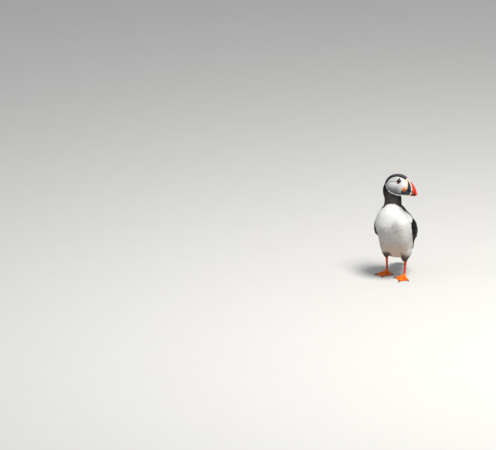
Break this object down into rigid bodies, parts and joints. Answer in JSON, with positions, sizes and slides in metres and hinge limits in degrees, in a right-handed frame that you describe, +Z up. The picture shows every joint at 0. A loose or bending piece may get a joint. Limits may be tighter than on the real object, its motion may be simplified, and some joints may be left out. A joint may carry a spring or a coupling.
{
  "type": "atlantic puffin",
  "caption": "Adult Atlantic puffin in summer plumage, standing upright on its webbed feet with its head turned to its left.",
  "frame": {"origin": "middle of the bird's width and length, at the floor under its feet", "axes": "+Z up, trunk facing -Y, the bird's left towards +X"},
  "size_m": [0.099, 0.131, 0.2272],
  "materials": {
    "white_plumage": "soft white feathers",
    "black_plumage": "glossy black-brown feathers",
    "face_plumage": "short pale grey feathers",
    "leg_skin": "scaled orange skin",
    "claw_horn": "black horn",
    "bill_horn": "red, slate and cream horn",
    "rosette_skin": "folded orange skin",
    "eye_ball": "wet and dark",
    "eye_plate": "slate horn"
  },
  "bodies": {
    "root": {"head": "face_plumage", "neck": "black_plumage", "trunk": "white_plumage", "tail": "black_plumage", "upper_bill": "bill_horn", "lower_bill": "bill_horn", "wing_left": "black_plumage", "thigh_left": "white_plumage", "tarsus_left": "leg_skin", "foot_left": "leg_skin", "claw_inner_left": "claw_horn", "claw_middle_left": "claw_horn", "claw_outer_left": "claw_horn", "eye_left": "eye_ball", "gape_rosette_left": "rosette_skin", "eye_plate_upper_left": "eye_plate", "eye_plate_lower_left": "eye_plate", "wing_right": "black_plumage", "thigh_right": "white_plumage", "tarsus_right": "leg_skin", "foot_right": "leg_skin", "claw_inner_right": "claw_horn", "claw_middle_right": "claw_horn", "claw_outer_right": "claw_horn", "eye_right": "eye_ball", "gape_rosette_right": "rosette_skin", "eye_plate_upper_right": "eye_plate", "eye_plate_lower_right": "eye_plate"}
  },
  "joints": []
}
